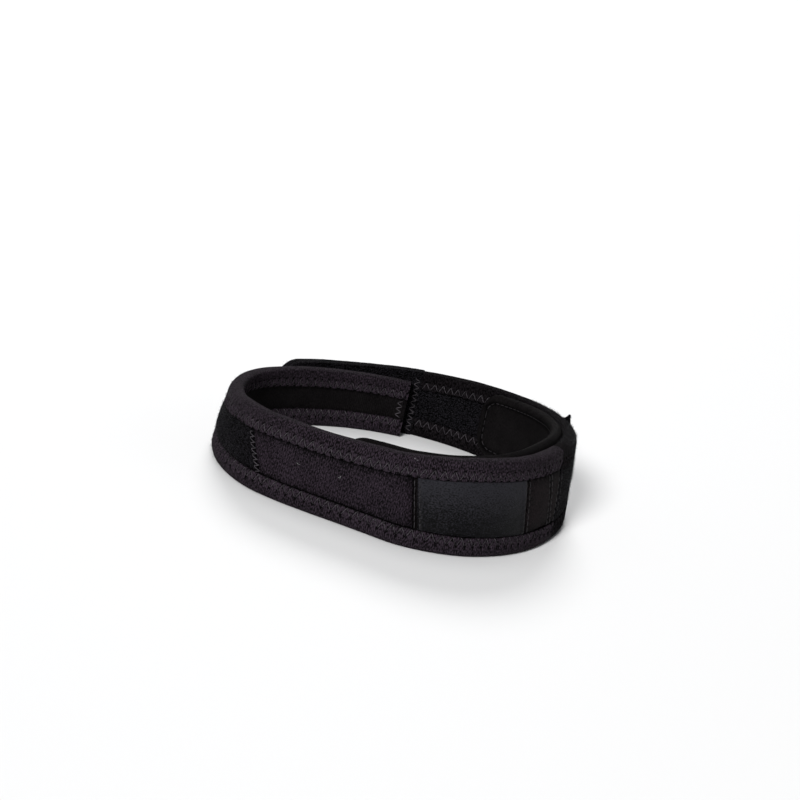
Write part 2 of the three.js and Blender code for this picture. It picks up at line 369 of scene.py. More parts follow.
def keep_painted_shading(obj, values):
    """Stores painted shade at each point: dark where sewing draws the cloth in, a little light on the
    bulges between.
    """
    if "pull" not in obj.data.attributes:
        obj.data.attributes.new("pull", "FLOAT", "POINT")
    obj.data.attributes["pull"].data.foreach_set("value", np.asarray(values, np.float32))


def new_grid(name, columns, rows):
    """A flat grid one unit wide and deep."""
    deselect_all()
    bpy.ops.mesh.primitive_grid_add(
        x_subdivisions=columns, y_subdivisions=rows, size=1, location=(0, 0, 0),
    )
    obj = bpy.context.object
    obj.name = name
    obj.data.name = name
    return obj


def cut_blank(name, columns, rows):
    """A flat slab of cloth one unit long, deep and high, with its faces divided."""
    obj = new_grid(name, columns, rows)
    bpy.ops.object.mode_set(mode="EDIT")
    bpy.ops.mesh.select_all(action="SELECT")
    bpy.ops.transform.rotate(value=math.radians(-90), orient_axis="X", center_override=(0, 0, 0))
    bpy.ops.mesh.extrude_region_move(TRANSFORM_OT_translate={"value": (0, 1, 0)})
    bpy.ops.mesh.select_all(action="SELECT")
    bpy.ops.mesh.normals_make_consistent(inside=False)
    bpy.ops.object.mode_set(mode="OBJECT")
    points = coordinates(obj)
    low, high = points.min(0), points.max(0)
    move_vertices(obj, (points - low) / (high - low))
    return obj


def wear_slab(obj, seams, low, high, outer, inner, bevel, relief=None, inset=None):
    """Bends a flat slab round the loop between two seams and two edges of the band."""
    (start, start_slant), (end, end_slant) = seams
    share, side, level = coordinates(obj).T
    slant = start_slant + (end_slant - start_slant) * share
    angle = start + (end - start) * share + slant * (level - 0.5)
    bottom, top = low(angle), high(angle)
    if inset is not None:
        back = inset(angle)
        bottom, top = bottom + back, top - back
    z = bottom + (top - bottom) * level
    length = length_at(angle)
    depth = outer + (inner(angle) - outer if callable(inner) else inner - outer) * side
    keep_cloth_map(obj, length, z + depth)
    if relief is not None:
        form, painted_shading = relief(length, z, level, share)
        depth = depth + form * (1 - side)
        # The relief's second part is kept as painted shade for the cloth's colour
        keep_painted_shading(obj, painted_shading * (1 - side))
    move_vertices(obj, worn(angle, depth, z))
    recalculate(obj)
    round_edges(obj, bevel)
    smooth(obj)


def edit_all(obj, operator, **settings):
    """Runs an edit mode operator on all of a piece."""
    take_up(obj)
    bpy.ops.object.mode_set(mode="EDIT")
    bpy.ops.mesh.select_all(action="SELECT")
    operator(**settings)
    bpy.ops.object.mode_set(mode="OBJECT")


def recalculate(obj):
    edit_all(obj, bpy.ops.mesh.normals_make_consistent, inside=False)


def smooth(obj):
    take_up(obj)
    bpy.ops.object.shade_smooth_by_angle(angle=math.radians(SMOOTH_TURN))


# Shader groups and materials

def new_group(name, *inputs):
    """A shader group with these inputs, which gives a height and a shade."""
    group = bpy.data.node_groups.new(name, "ShaderNodeTree")
    for label in inputs:
        group.interface.new_socket(label, in_out="INPUT", socket_type="NodeSocketFloat")
    for label in ("Height", "Shade"):
        group.interface.new_socket(label, in_out="OUTPUT", socket_type="NodeSocketFloat")
    return group, group.nodes.new("NodeGroupInput"), group.nodes.new("NodeGroupOutput")


def maths(tree, operation, first, second=0.0, third=0.0):
    node = tree.nodes.new("ShaderNodeMath")
    node.operation = operation
    for socket, value in zip(node.inputs, (first, second, third)):
        if isinstance(value, (int, float)):
            socket.default_value = value
        else:
            tree.links.new(value, socket)
    return node.outputs[0]


def cloth_map(tree):
    """The flat cloth's own coordinates, 10 mm to the unit."""
    node = tree.nodes.new("ShaderNodeUVMap")
    node.uv_map = "cloth"
    return node.outputs["UV"]


def cloth_axes(tree):
    """Millimetres along and across the flat cloth."""
    split = tree.nodes.new("ShaderNodeSeparateXYZ")
    tree.links.new(cloth_map(tree), split.inputs[0])
    return tuple(maths(tree, "MULTIPLY", split.outputs[axis], 10) for axis in "XY")


def speckle(tree, scale, detail, stretch=(1, 1)):
    """Noise over the flat cloth, scale in bumps per 10 mm."""
    mapping = tree.nodes.new("ShaderNodeMapping")
    mapping.inputs["Scale"].default_value = (stretch[0], stretch[1], 1)
    noise = tree.nodes.new("ShaderNodeTexNoise")
    noise.noise_dimensions = "2D"
    noise.inputs["Scale"].default_value = scale
    noise.inputs["Detail"].default_value = detail
    tree.links.new(cloth_map(tree), mapping.inputs["Vector"])
    tree.links.new(mapping.outputs["Vector"], noise.inputs["Vector"])
    return noise.outputs["Fac"]


def contrast(tree, value, size):
    """A value's distance from one half, made larger or smaller."""
    return maths(tree, "MULTIPLY", maths(tree, "SUBTRACT", value, 0.5), size)


def flecks(tree, scale, share):
    """Scattered pale spots where a fine noise peaks."""
    peak = maths(tree, "SUBTRACT", speckle(tree, scale, 1), share)
    return maths(tree, "MINIMUM", maths(tree, "MAXIMUM", maths(tree, "MULTIPLY", peak, 8), 0), 1)


def paint_sewing_shade(tree, shade, size):
    """Painted shade: a shade made darker where sewing draws the cloth in, as the stored attribute
    says.
    """
    pull = tree.nodes.new("ShaderNodeAttribute")
    pull.attribute_name = "pull"
    return maths(tree, "SUBTRACT", shade, maths(tree, "MULTIPLY", pull.outputs["Fac"], size))


def knit_group():
    """Jersey: upright wales of small V stitches, with a loose fuzz over them."""
    group, given, put = new_group("jersey_knit", "Wale", "Course", "Fuzz", "Grain")
    u, v = cloth_axes(group)
    wander = maths(group, "MULTIPLY", speckle(group, 6, 2), 0.35)
    column = maths(group, "DIVIDE", maths(group, "ADD", u, wander), given.outputs["Wale"])
    in_column = maths(group, "FRACT", column)
    from_rib = maths(group, "ABSOLUTE", maths(group, "SUBTRACT", in_column, 0.5))
    rib = maths(group, "SINE", maths(group, "MULTIPLY", in_column, math.pi))
    row = maths(group, "ADD", maths(group, "DIVIDE", v, given.outputs["Course"]), from_rib)
    loop = maths(group, "SINE", maths(group, "MULTIPLY", row, math.tau))
    stitch = maths(group, "MULTIPLY_ADD", loop, 0.25, maths(group, "MULTIPLY", rib, 0.75))
    fuzz = maths(group, "MULTIPLY", speckle(group, 28, 4), given.outputs["Fuzz"])
    height = maths(group, "ADD", stitch, fuzz)
    group.links.new(height, put.inputs["Height"])
    coarse = contrast(group, speckle(group, 15, 3, (1.4, 0.75)), 1)
    grain = maths(group, "MULTIPLY", coarse, given.outputs["Grain"])
    patch = contrast(group, speckle(group, 1.3, 3), 0.5)
    shade = maths(group, "ADD", maths(group, "ADD", grain, patch), contrast(group, stitch, 0.35))
    # Painted shade in the seams' dents, holes and creases, from the stored attribute
    shade = paint_sewing_shade(group, shade, 0.75)
    shade = maths(group, "MULTIPLY_ADD", flecks(group, 34, 0.7), 0.6, shade)
    group.links.new(maths(group, "ADD", shade, 0.42), put.inputs["Shade"])
    return group


def weave_group():
    """Satin weave: long floats across, broken by fine upright ties, with painted shade that darkens
    it towards the foot.
    """
    group, given, put = new_group("satin_weave", "Thread", "Foot", "Head")
    u, v = cloth_axes(group)
    row = maths(group, "DIVIDE", v, given.outputs["Thread"])
    float_line = maths(group, "SINE", maths(group, "MULTIPLY", maths(group, "FRACT", row), math.pi))
    step = maths(group, "MULTIPLY", maths(group, "FLOOR", row), 0.4)
    tie = maths(group, "FRACT", maths(group, "ADD", maths(group, "DIVIDE", u, 1.1), step))
    past_tie = maths(group, "SUBTRACT", 1, maths(group, "MULTIPLY", tie, 9))
    knot = maths(group, "SMOOTH_MAX", past_tie, 0, 0.1)
    height = maths(group, "SUBTRACT", float_line, maths(group, "MULTIPLY", knot, 0.6))
    group.links.new(height, put.inputs["Height"])
    streak = contrast(group, speckle(group, 6, 3, (0.35, 1.6)), 0.7)
    grain = contrast(group, speckle(group, 17, 3, (0.8, 1.3)), 2.8)
    # Painted shade: the satin darkens smoothly from Head down to Foot
    rise = group.nodes.new("ShaderNodeMapRange")
    rise.interpolation_type = "SMOOTHSTEP"
    group.links.new(v, rise.inputs["Value"])
    group.links.new(given.outputs["Foot"], rise.inputs["From Min"])
    group.links.new(given.outputs["Head"], rise.inputs["From Max"])
    shade = maths(group, "ADD", maths(group, "ADD", streak, grain), contrast(group, height, 0.2))
    painted_foot_shade = maths(group, "MULTIPLY_ADD", rise.outputs["Result"], 0.8, 0.08)
    group.links.new(maths(group, "ADD", shade, painted_foot_shade), put.inputs["Shade"])
    return group


def pile_group():
    """Brushed loop pile: matted tufts with dark partings."""
    group, given, put = new_group("loop_pile", "Tuft")
    tufts = group.nodes.new("ShaderNodeTexVoronoi")
    tufts.feature = "SMOOTH_F1"
    tufts.voronoi_dimensions = "2D"
    tufts.inputs["Smoothness"].default_value = 0.35
    group.links.new(given.outputs["Tuft"], tufts.inputs["Scale"])
    group.links.new(cloth_map(group), tufts.inputs["Vector"])
    distance = tufts.outputs["Distance"]
    matted = maths(group, "MULTIPLY", speckle(group, 14, 5), 1.1)
    height = maths(group, "SUBTRACT", matted, maths(group, "MULTIPLY", distance, 1.6))
    group.links.new(height, put.inputs["Height"])
    patch = contrast(group, speckle(group, 2.6, 4), 0.7)
    grain = contrast(group, speckle(group, 24, 4), 3.4)
    shade = maths(group, "ADD", maths(group, "ADD", patch, grain), 0.75)
    shade = maths(group, "SUBTRACT", shade, maths(group, "MULTIPLY", distance, 1.1))
    shade = maths(group, "MULTIPLY_ADD", flecks(group, 26, 0.66), 0.9, shade)
    # Painted shade from the stored attribute: in seam dents, between tufts and under the hems' edges
    group.links.new(paint_sewing_shade(group, shade, 0.5), put.inputs["Shade"])
    return group


def new_material(name):
    material = bpy.data.materials.new(name)
    material.use_nodes = True
    return material, material.node_tree, material.node_tree.nodes["Principled BSDF"]


def tint(tree, shader, shade, dark, light, start=0, end=1):
    """Colours a surface from dark to light as a shade goes from start to end."""
    ramp = tree.nodes.new("ShaderNodeValToRGB")
    for element, position, colour in zip(ramp.color_ramp.elements, (start, end), (dark, light)):
        element.position = position
        element.color = (*colour, 1)
    tree.links.new(shade, ramp.inputs["Fac"])
    tree.links.new(ramp.outputs["Color"], shader.inputs["Base Color"])


def emboss(tree, shader, height, relief):
    """Raises a surface by a pattern, relief in millimetres."""
    bump = tree.nodes.new("ShaderNodeBump")
    bump.inputs["Distance"].default_value = relief * MM
    tree.links.new(height, bump.inputs["Height"])
    tree.links.new(bump.outputs["Normal"], shader.inputs["Normal"])


def cloth_material(name, group, settings, dark, light, roughness, relief, specular):
    """A cloth whose colour and roughness follow the pattern of its group."""
    material, tree, shader = new_material(name)
    pattern = tree.nodes.new("ShaderNodeGroup")
    pattern.node_tree = group
    for label, value in settings.items():
        pattern.inputs[label].default_value = value
    tint(tree, shader, pattern.outputs["Shade"], dark, light)
    emboss(tree, shader, pattern.outputs["Height"], relief)
    rough = tree.nodes.new("ShaderNodeMapRange")
    rough.inputs["To Min"].default_value = roughness - ROUGHNESS_SWING
    rough.inputs["To Max"].default_value = roughness + ROUGHNESS_SWING
    tree.links.new(pattern.outputs["Shade"], rough.inputs["Value"])
    tree.links.new(rough.outputs["Result"], shader.inputs["Roughness"])
    shader.inputs["Specular IOR Level"].default_value = specular
    return material


def thread_material(name, dark, light, roughness):
    """A twisted thread or a fibre."""
    material, tree, shader = new_material(name)
    where = tree.nodes.new("ShaderNodeTexCoord")
    twist = tree.nodes.new("ShaderNodeTexNoise")
    twist.inputs["Scale"].default_value = THREAD_TWIST
    twist.inputs["Detail"].default_value = 2
    tree.links.new(where.outputs["Object"], twist.inputs["Vector"])
    tint(tree, shader, twist.outputs["Fac"], dark, light, 0.3, 0.7)
    emboss(tree, shader, twist.outputs["Fac"], 0.05)
    shader.inputs["Roughness"].default_value = roughness
    shader.inputs["Specular IOR Level"].default_value = 0.25
    return material


KNIT = knit_group()
WEAVE = weave_group()
PILE = pile_group()

# Each cloth: its pattern, colour from dark to light, roughness, relief and gloss
MATERIALS = {
    "jersey": cloth_material(
        "jersey", KNIT, {"Wale": 0.9, "Course": 0.62, "Fuzz": 0.6, "Grain": 2.9},
        (0.001, 0.0006, 0.001), (0.030, 0.0215, 0.030), 0.85, 0.25, 0.06,
    ),
    "hem": cloth_material(
        "hem_tape", KNIT, {"Wale": 0.75, "Course": 0.5, "Fuzz": 0.8, "Grain": 4.4},
        (0.001, 0.0006, 0.001), (0.033, 0.024, 0.033), 0.82, 0.25, 0.06,
    ),
    # A darker, browner copy of the jersey: partly its own tone, partly painted shade for the end and
    # side panels that turn from the key light
    "shaded_side_jersey": cloth_material(
        "shaded_side_jersey", KNIT, {"Wale": 0.9, "Course": 0.62, "Fuzz": 0.6, "Grain": 2.9},
        (0.0008, 0.0005, 0.0006), (0.021, 0.015, 0.017), 0.85, 0.25, 0.05,
    ),
    # Darker than the band's hem tape: partly its own tone, partly painted shade laid on the strap's
    # hems and rim
    "strap_hem": cloth_material(
        "strap_hem_tape", KNIT, {"Wale": 0.75, "Course": 0.5, "Fuzz": 0.8, "Grain": 4.4},
        (0.0004, 0.0003, 0.0004), (0.0118, 0.0098, 0.0113), 0.85, 0.25, 0.02,
    ),
    # Partly the lining's own dark tone, partly painted shade over the pad and the lining's rim
    "lining": cloth_material(
        "shaded_neoprene_lining", KNIT, {"Wale": 0.8, "Course": 0.55, "Fuzz": 0.3, "Grain": 1.4},
        (0.0008, 0.0006, 0.0007), (0.0102, 0.0088, 0.0093), 0.8, 0.16, 0.03,
    ),
    "pile": cloth_material(
        "loop_pile", PILE, {"Tuft": 12},
        (0.0002, 0.0002, 0.0002), (0.0165, 0.015, 0.0185), 0.9, 0.6, 0.03,
    ),
    # Foot and Head: heights in mm between which the satin's painted shade fades out upwards
    "satin": cloth_material(
        "woven_satin", WEAVE, {"Thread": 0.32, "Foot": 9, "Head": 27},
        (0.0004, 0.0004, 0.0005), (0.0195, 0.019, 0.0235), 0.45, 0.09, 0.08,
    ),
    "hooks": cloth_material(
        "hook_tape", PILE, {"Tuft": 14},
        (0.0005, 0.0005, 0.0005), (0.009, 0.009, 0.009), 0.6, 0.4, 0.06,
    ),
    "thread": thread_material("sewing_thread", (0.012, 0.0105, 0.012), (0.056, 0.048, 0.056), 0.5),
    "fine_thread": thread_material("fine_thread", (0.004, 0.0035, 0.004), (0.022, 0.019, 0.022), 0.5),
    "lint": thread_material("lint", (0.12, 0.12, 0.12), (0.3, 0.3, 0.3), 0.8),
    "fuzz": thread_material("pile_fibre", (0.003, 0.003, 0.0033), (0.028, 0.027, 0.031), 0.6),
}


def dress(obj, material, slot, *nodes):
    """Gives a piece its material, hangs it on the root body and hides the CAD nodes that it stands
    for; slot is not used.
    """
    obj.data.materials.clear()
    obj.data.materials.append(MATERIALS[material])
    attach(obj, "root")
    if nodes:
        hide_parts(*nodes)


# The pieces

def make_core():
    """Neoprene core of the band, whose lining shows on the inside between the hems."""
    obj = cut_blank("band_core", 330, 16)
    turn_in = BINDING_THICKNESS + GAP
    wear_slab(
        obj, (TAIL_SEAM, SIDE_RIGHT), lambda a: turn_in + 0 * a, lambda a: height_at(a) - turn_in,
        turn_in, turn_in + CORE_THICKNESS, 0.3,
    )
    dress(obj, "lining", "neoprene", "front_band")


STITCH_BEGIN = float(length_at(TAIL_END)) + 2


def fed(length):
    """The cloth's uneven feed under the needle, so that no two stitches are quite alike."""
    slips = 0.22 * np.sin(length / 5.3) + 0.16 * np.sin(length / 2.9 + 1) + 0.3 * np.sin(length / 23)
    return length + slips


def stitch_turns(length):
    """How often the zigzag has turned on its way to a length."""
    return (fed(length) - STITCH_BEGIN) / (STITCH_PERIOD / 2)


def stitch_way(turns):
    """Which way the thread runs: 1 on every other stitch, -1 between."""
    return np.where(np.floor(turns) % 2 == 0, 1, -1)


def seam_pull(length, from_seam):
    """How far the zigzag draws the cloth in: a trough, a line under the thread and needle holes; and
    the painted shade of these dents.
    """
    turns = stitch_turns(length)
    part = turns % 1
    under = from_seam - (2 * part - 1) * stitch_way(turns) * STITCH_RISE / 2
    nearest = np.round(turns)
    hole_at = -stitch_way(nearest) * STITCH_RISE / 2
    aside = (turns - nearest) * STITCH_PERIOD / 2
    hole = np.exp(-(aside ** 2 + (from_seam - hole_at) ** 2) / NEEDLE_HOLE ** 2)
    within = np.clip((STITCH_RISE / 2 + 0.4 - np.abs(from_seam)) / 0.4, 0, 1)
    thread = np.exp(-(under / THREAD_DENT) ** 2) * within
    trough = np.exp(-(from_seam / SEAM_TROUGH) ** 2)
    painted_shading = 0.7 * thread + 1.1 * hole - 0.35 * within * (1 - thread)
    return 0.2 * trough + 0.36 * thread + 0.8 * hole - 0.14 * trough * (1 - thread), painted_shading


def hem_sink(length, rise, from_seam, hem, seed):
    """How far a hem's face lies under its plain form, and the painted shade where its sewing draws it
    in and where it puckers.
    """
    swell = 0.13 * ripple(seed, length, rise, 26) + 0.08 * ripple(seed + 10, length, rise, 7)
    strength = 0.8 + 0.6 * ripple(seed + 20, length, 0 * length, 18)
    wrinkle = np.cos(stitch_turns(length) * math.pi + 0.5 * np.sin(length / 7))
    pucker = 0.17 * strength * wrinkle * np.clip(1 - rise / (hem - 2), 0, 1)
    edge = np.clip((rise - hem + 0.7) / 0.7, 0, 1) ** 2
    pull, painted_shading = seam_pull(length, from_seam)
    return pull - 0.12 + swell + pucker + 0.35 * edge, painted_shading + 0.4 * edge + 1.2 * pucker


def tape_section(hem):
    """A hem tape's section, edge to edge: distances from the band's rim and depths into it."""
    flap = np.linspace(0, 1, FLAP_ROWS)
    turn = np.linspace(0, math.pi, 12)[1:-1]
    radius = BAND_THICKNESS / 2
    across = np.concatenate([
        hem + (TAPE_FOLD - hem) * flap,
        TAPE_FOLD * (1 - np.sin(turn) ** FOLD_SQUARENESS),
        TAPE_FOLD + (hem - TAPE_FOLD) * flap,
    ])
    inward = np.concatenate([
        0 * flap,
        radius - radius * np.sign(np.cos(turn)) * np.abs(np.cos(turn)) ** FOLD_SQUARENESS,
        BAND_THICKNESS + 0 * flap,
    ])
    return across, inward


def make_binding(name, upper, start, end, columns, *nodes):
    """A hem tape folded over the band's edge, pulled in along its zigzag seam."""
    hem = UPPER_HEM if upper else LOWER_HEM
    across, inward = tape_section(hem)
    run = np.concatenate([[0], np.cumsum(np.hypot(np.diff(across), np.diff(inward)))])
    obj = new_grid(name, columns, len(run) - 1)
    share, place, _ = (coordinates(obj) + 0.5).T
    row = np.rint(place * (len(run) - 1)).astype(int)
    angle = start + (end - start) * share
    length = length_at(angle)
    rise = across[row]
    depth = inward[row]
    outside = row < FLAP_ROWS
    inside = row >= len(run) - FLAP_ROWS
    tip = height_at(angle) if upper else 0 * angle
    z = tip - rise if upper else rise
    from_seam = (rise - (hem - STITCH_FROM_EDGE)) * (-1 if upper else 1)
    sunk, painted_shading = hem_sink(length, rise, from_seam, hem, HEM_SEED + upper)
    depth = depth + np.where(outside, sunk, 0) - np.where(inside, sunk, 0)
    # Painted shade of the zigzag's dents and the hem's puckers, on both faces of the tape
    keep_painted_shading(obj, np.where(outside | inside, painted_shading, 0))
    lift = 0.12 * ripple(31 + upper, length, 0 * length, 30)
    if upper:
        z = z + np.where(outside | inside, 0, lift)
    keep_cloth_map(obj, length, run[row])
    move_vertices(obj, worn(angle, depth, np.maximum(z, 0)))
    face = obj.data.polygons[0]
    from_axis = np.array(face.center) - np.array([*LOOP_AXIS, 0]) * MM
    if np.array(face.normal)[:2] @ from_axis[:2] < 0:
        edit_all(obj, bpy.ops.mesh.flip_normals)
    apply_modifier(
        obj, "SOLIDIFY", thickness=TAPE_THICKNESS * MM, offset=-1, use_even_offset=False,
    )
    smooth(obj)
    dress(obj, "hem" if nodes else "strap_hem", "hem", *nodes)


def declare_cloth(seams, low, high):
    """Works out the width of a piece cut flat, along its length, and keeps none of it."""
    (start, _), (end, _) = seams
    lengths = np.linspace(length_at(start), length_at(end), 200)
    angles = angle_at(lengths)
    widths = high(angles) - low(angles)


def between_hems(margin=GAP):
    """The lower and upper edge of what lies between the hems, as functions of the angle."""
    low = lambda a: LOWER_HEM + margin + 0 * a
    high = lambda a: height_at(a) - UPPER_HEM - margin
    return low, high


def make_panel(
    name, node, seams, columns, seed, material="jersey", thickness=PANEL_THICKNESS, tuft=0,
):
    """A face panel, puffed between its seams; tuft is the height of its pile in millimetres."""
    obj = cut_blank(name, 2 * columns, 36)
    low, high = between_hems()
    inner = BINDING_THICKNESS

    def relief(length, z, level, share):
        pinch = np.exp(-level / 0.07) + np.exp(-(1 - level) / 0.07)
        ends = np.exp(-share * columns / 2.5) + np.exp(-(1 - share) * columns / 2.5)
        soft = swells(seed, length, z, PANEL_SWELLS)
        beat = 0.5 + 0.5 * np.cos(stitch_turns(length) * math.pi)
        tufts = ripple(seed + 2, length, z, 2.2)
        # Painted shade along the hems' edges, at the seams and between the pile's tufts
        painted_shading = pinch * (0.45 + 0.4 * beat) + 0.5 * ends + 0.8 * np.clip(tufts, 0, 1) * (tuft > 0)
        form = 0.28 * pinch + 0.22 * ends + soft + 0.16 * pinch * beat - 0.1
        return form + tuft * tufts, painted_shading

    wear_slab(obj, seams, low, high, inner - thickness, inner, 0.25, relief)
    dress(obj, material, "pile" if tuft else "jersey", node)
    if length_at(seams[1][0]) - length_at(seams[0][0]) > LEAST_SHEET:
        declare_cloth(seams, low, high)


def make_label():
    """A plain woven satin label with its sides folded under, a little slack along its foot."""
    obj = cut_blank("woven_label", 90, 40)
    low, high = between_hems(0.15)
    inner = BINDING_THICKNESS

    def relief(length, z, level, share):
        sides = np.exp(-share / 0.02) + np.exp(-(1 - share) / 0.02)
        roll = 0.25 * np.exp(-((share - 0.035) / 0.02) ** 2)
        roll = roll + 0.3 * np.exp(-((share - 0.965) / 0.02) ** 2)
        slack = 0.25 * np.exp(-((level - 0.22) / 0.2) ** 2) * np.sin(math.pi * share)
        creases = 0.1 * ripple(5, length, z, 16) + 0.05 * ripple(6, length * 0.3, z, 5)
        ends = np.exp(-(1 - level) / 0.05) + np.exp(-level / 0.05)
        # The label's edges under the hems get painted shade
        return 0.35 * sides - roll - slack + creases + 0.3 * ends, ends

    seams = (LABEL_LEFT, LABEL_RIGHT)
    wear_slab(obj, seams, low, high, inner - LABEL_THICKNESS, inner, 0.2, relief)
    dress(obj, "satin", "label", "label")
    declare_cloth(seams, low, high)


def tab_inset(angle):
    """How far the tab's rounded corners take its edges back."""
    return corner_inset(length_at(TAB_END) - length_at(angle), TAB_CORNER)


def under_hem(angle):
    """How far the back strap is covered by its hems: 1 along them, 0 on the tab."""
    return np.clip((STRAP_HEM_END + 0.5 - angle) / 1.5, 0, 1)


def make_back_strap():
    """The strap round the back, of thick brushed pile cloth with rounded edges."""
    obj = cut_blank("pile_strap", 440, 44)

    def relief(length, z, level, share):
        tufts = ripple(43, length, z, 2.6)
        hemmed = under_hem(angle_at(length))
        from_edge = np.minimum(z, height_at(angle_at(length)) - z)
        covered = hemmed * np.clip((LOWER_HEM + 0.3 - from_edge) / 0.8, 0, 1)
        form = swells(41, length, z, STRAP_SWELLS) + 0.12 * tufts + 0.9 * covered
        # Painted shade between the tufts and where the hems cover the strap
        return form, np.clip(tufts, 0, 1) + covered

    wear_slab(
        obj, ((STRAP_HEM_START, 0), (TAB_END, 0)), lambda a: 0.7 * under_hem(a),
        lambda a: height_at(a) - 0.7 * under_hem(a), STRAP_FACE,
        lambda a: STRAP_FACE + STRAP_THICKNESS - 0.8 * under_hem(a), 1.3, relief, tab_inset,
    )
    dress(obj, "pile", "pile", "back_strap")


def corner_lift(angle):
    """How far the raised corner stands above the strap's edge: steep in front, sloping behind."""
    start, end = RAISED_CORNER
    return RAISED_LIFT * np.clip((end - angle) / (end - start), 0, 1) ** 1.3 - 0.4


def make_raised_corner():
    """A raw corner of pile cloth that stands up from the back strap's upper edge."""
    obj = cut_blank("raised_corner", 24, 16)
    start, end = RAISED_CORNER

    def relief(length, z, level, share):
        # The raised corner gets an even touch of painted shade
        return 0.2 * ripple(46, length, z, 4) + 0.35 * level ** 2, 0.3 + 0 * z

    wear_slab(
        obj, ((start, 0), (end, 1.2)), lambda a: height_at(a) - 3.3,
        lambda a: height_at(a) + corner_lift(a), -0.35, 0.7, 0.2, relief,
    )
    dress(obj, "pile", "pile")


def make_hook_patch():
    """The hook tape under the tab."""
    obj = cut_blank("hook_tape", 60, 10)
    end = angle_after(TAB_END, -HOOK_MARGIN)
    seams = ((angle_after(end, -HOOK_LENGTH), 0), (end, 0))
    low, high = between_hems(0)
    outer = (BAND_THICKNESS + STRAP_THICKNESS) / 2 + GAP
    wear_slab(obj, seams, low, high, outer, outer + HOOK_THICKNESS, 0.2)
    dress(obj, "hooks", "hooks", "hook_patch")
    declare_cloth(seams, low, high)


def pad_outline(angle):
    """The pad's lower and upper edge, and how far the nearer of its ends is."""
    length = length_at(angle)
    reach = np.minimum(length - length_at(PAD_START), length_at(PAD_END) - length)
    inset = corner_inset(reach, PAD_CORNER)
    low = PAD_CLEARANCE_BELOW + inset
    high = height_at(angle) * along(PAD, PAD_TOP, angle) - inset
    return low, high, reach


def pad_surface(angle, z):
    """The pad's own form: its depth next to the band, on the loop's inside, and its groove."""
    length = length_at(angle)
    low, high, reach = pad_outline(angle)
    thickness = PAD_THICKNESS * along(PAD, PAD_SHARE, angle)
    from_edge = np.minimum(np.minimum(z - low, high - z), reach)
    round_over = np.sqrt(np.clip(1 - (1 - np.clip(from_edge / PAD_ROUNDING, 0, 1)) ** 2, 0, 1))
    swell = swells(51, length, z, PAD_SWELLS)
    groove_depth, groove_width = PAD_GROOVE
    groove = groove_depth * np.exp(-((from_edge - PAD_STITCH_INSET) / groove_width) ** 2)
    back = BAND_THICKNESS + GAP
    start = back + 0.35 * thickness * (1 - round_over)
    end = back + thickness * (0.3 + 0.7 * round_over) + (swell - groove) * round_over
    return start, np.maximum(end, start + 0.4), groove


def make_pad():
    """The tendon pad: a soft cushion on the inside of the band."""
    obj = cut_blank("tendon_cushion", 320, 32)
    share, side, level = coordinates(obj).T
    angle = PAD_START + (PAD_END - PAD_START) * share
    low, high, _ = pad_outline(angle)
    z = low + (high - low) * level
    start, end, groove = pad_surface(angle, z)
    depth = start + (end - start) * side
    keep_cloth_map(obj, length_at(angle), z + depth)
    # Painted shade in the pad's groove
    keep_painted_shading(obj, 2 * groove * side)
    move_vertices(obj, worn(angle, depth, z))
    recalculate(obj)
    round_edges(obj, 0.5)
    smooth(obj)
    dress(obj, "lining", "neoprene", "tendon_pad")


# Sewing

def sew(name, strands, radius, material, slot):
    """A sewing thread as a round tube along each list of points."""
    data = bpy.data.curves.new(name, "CURVE")
    data.dimensions = "3D"
    data.bevel_depth = radius * MM
    data.bevel_resolution = 1
    data.use_fill_caps = True
    for points in strands:
        spline = data.splines.new("POLY")
        spline.points.add(len(points) - 1)
        spline.points.foreach_set("co", np.c_[points, np.ones(len(points))].ravel())
    obj = bpy.data.objects.new(name, data)
    bpy.context.scene.collection.objects.link(obj)
    take_up(obj)
    bpy.ops.object.convert(target="MESH")
    obj = bpy.context.object
    smooth(obj)
    dress(obj, material, slot)


def hem_zigzag(name, upper, inside, start, end):
    """A hem's zigzag seam: the thread lies in its trough and dives at each turn."""
    hem = UPPER_HEM if upper else LOWER_HEM
    grid = np.linspace(length_at(start) + 0.8, length_at(end) - 0.6, 6000)
    first, last = stitch_turns(grid[[0, -1]])
    turns = np.arange(math.ceil(first), int(last), 1 / 8)
    length = np.interp(turns, stitch_turns(grid), grid)
    part = turns % 1
    from_seam = (2 * part - 1) * stitch_way(turns) * STITCH_RISE / 2
    rise = hem - STITCH_FROM_EDGE + from_seam * (-1 if upper else 1)
    angle = angle_at(length)
    z = height_at(angle) - rise if upper else rise
    sink = hem_sink(length, rise, from_seam, hem, HEM_SEED + upper)[0] - 0.1
    sink = np.where((part < 0.06) | (part > 0.94), sink + 0.25, sink)
    depth = BAND_THICKNESS - sink if inside else sink
    sew(name, [worn(angle, depth, z)], HEM_THREAD, "thread", "hem")


def seed_of(name):
    """A piece's own seed, from its name."""
    return sum((i + 1) * ord(c) for i, c in enumerate(name))


def seam_angle(seam, z):
    """The angle of a slanting seam at a height."""
    middle, slant = seam
    low, high = between_hems()
    level = (z - low(middle)) / (high(middle) - low(middle))
    return middle + slant * (level - 0.5)


def seam_reach(seam, low=None, high=None):
    """Where a seam across the band begins and ends: at the hems, unless it is given."""
    low = LOWER_HEM + GAP if low is None else low
    high = height_at(seam[0]) - UPPER_HEM - GAP if high is None else high
    return low, high


